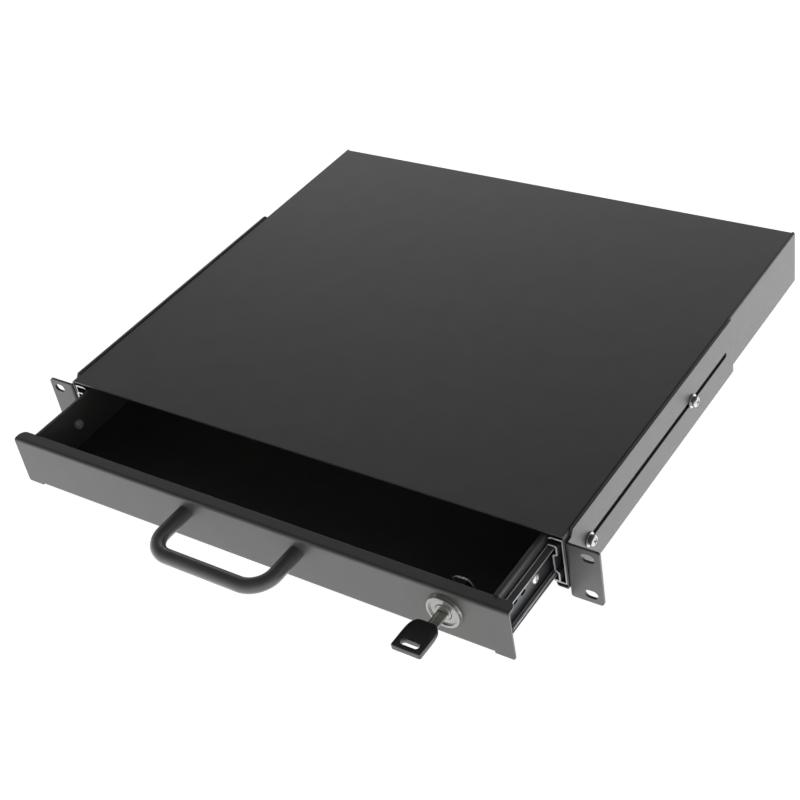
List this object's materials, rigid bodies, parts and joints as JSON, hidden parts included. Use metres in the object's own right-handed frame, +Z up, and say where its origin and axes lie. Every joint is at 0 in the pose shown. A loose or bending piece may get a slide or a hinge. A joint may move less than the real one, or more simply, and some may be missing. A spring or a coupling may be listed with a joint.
{
  "type": "rack keyboard tray",
  "caption": "19-inch rack keyboard tray: folded steel case on adjustable ear brackets, ball-bearing drawer, bent-rod handle and cam lock with key, partly open",
  "frame": {"origin": "centre of the four ear slots, on the front face of the ears", "axes": "-Y is the front, where the drawer comes out; +X is to the right seen from the front; +Z is up"},
  "size_m": [0.4826, 0.4904, 0.0508],
  "materials": {
    "powder_coat": "fine-textured matt black powder coat on folded steel",
    "handle_coat": "smooth satin black coat on steel rod",
    "black_zinc_steel": "black-passivated zinc on rolled strip, bright at its cut ends",
    "zinc_hardware": "bright zinc-plated fasteners",
    "cage_steel": "plain pressed steel, lightly greased",
    "bearing_steel": "polished bearing balls",
    "lock_nickel": "satin nickel-plated die casting",
    "key_steel": "nickel-plated key blank",
    "key_plastic": "moulded black plastic"
  },
  "bodies": {
    "rack_brackets": {"bracket_left": "powder_coat", "bracket_right": "powder_coat"},
    "case": {"case_shell": "powder_coat", "slide_outer_left": "black_zinc_steel", "slide_outer_right": "black_zinc_steel", "bracket_screws": "zinc_hardware", "bracket_spring_washers": "zinc_hardware", "bracket_flat_washers": "zinc_hardware", "bracket_nuts": "zinc_hardware", "lock_keeper": "powder_coat"},
    "middle_left": {"slide_middle_left": "black_zinc_steel"},
    "middle_right": {"slide_middle_right": "black_zinc_steel"},
    "outer_cage_left": {"cage_outer_left": "cage_steel", "balls_outer_left": "bearing_steel"},
    "outer_cage_right": {"cage_outer_right": "cage_steel", "balls_outer_right": "bearing_steel"},
    "inner_cage_left": {"cage_inner_left": "cage_steel", "balls_inner_left": "bearing_steel"},
    "inner_cage_right": {"cage_inner_right": "cage_steel", "balls_inner_right": "bearing_steel"},
    "drawer": {"drawer_tray": "powder_coat", "front_panel": "powder_coat", "handle": "handle_coat", "handle_screws": "zinc_hardware", "slide_inner_left": "black_zinc_steel", "slide_inner_right": "black_zinc_steel", "drawer_slide_screws": "zinc_hardware", "drawer_slide_nuts": "zinc_hardware", "lock_body": "lock_nickel", "lock_nut": "zinc_hardware"},
    "lock": {"lock_plug": "lock_nickel", "lock_cam": "zinc_hardware", "cam_screw": "zinc_hardware"},
    "key": {"key_blade": "key_steel", "key_bow": "key_plastic"}
  },
  "joints": [
    {"name": "depth_adjust", "type": "slide", "parent": "rack_brackets", "child": "case", "axis": [0, 1, 0], "range_m": [0, 0.057]},
    {"name": "drawer_slide", "type": "slide", "parent": "case", "child": "drawer", "axis": [0, -1, 0], "range_m": [-0.057, 0.293]},
    {"name": "middle_left_slide", "type": "slide", "parent": "case", "child": "middle_left", "axis": [0, -1, 0], "range_m": [-0.0285, 0.1465]},
    {"name": "middle_right_slide", "type": "slide", "parent": "case", "child": "middle_right", "axis": [0, -1, 0], "range_m": [-0.0285, 0.1465]},
    {"name": "outer_cage_left_roll", "type": "slide", "parent": "case", "child": "outer_cage_left", "axis": [0, -1, 0], "range_m": [-0.01425, 0.07325]},
    {"name": "outer_cage_right_roll", "type": "slide", "parent": "case", "child": "outer_cage_right", "axis": [0, -1, 0], "range_m": [-0.01425, 0.07325]},
    {"name": "inner_cage_left_roll", "type": "slide", "parent": "case", "child": "inner_cage_left", "axis": [0, -1, 0], "range_m": [-0.04275, 0.21975]},
    {"name": "inner_cage_right_roll", "type": "slide", "parent": "case", "child": "inner_cage_right", "axis": [0, -1, 0], "range_m": [-0.04275, 0.21975]},
    {"name": "lock_turn", "type": "hinge", "parent": "drawer", "child": "lock", "pos_m": [0.1662, -0.0424, 0.0042], "axis": [0, 1, 0], "range_deg": [0, 180]},
    {"name": "key_withdraw", "type": "slide", "parent": "lock", "child": "key", "axis": [0, -1, 0], "range_m": [0, 0.03]}
  ],
  "couplings": [
    {"joint": "middle_left_slide", "follows": "drawer_slide", "ratio": 0.5},
    {"joint": "middle_right_slide", "follows": "drawer_slide", "ratio": 0.5},
    {"joint": "outer_cage_left_roll", "follows": "drawer_slide", "ratio": 0.25},
    {"joint": "outer_cage_right_roll", "follows": "drawer_slide", "ratio": 0.25},
    {"joint": "inner_cage_left_roll", "follows": "drawer_slide", "ratio": 0.75},
    {"joint": "inner_cage_right_roll", "follows": "drawer_slide", "ratio": 0.75}
  ]
}
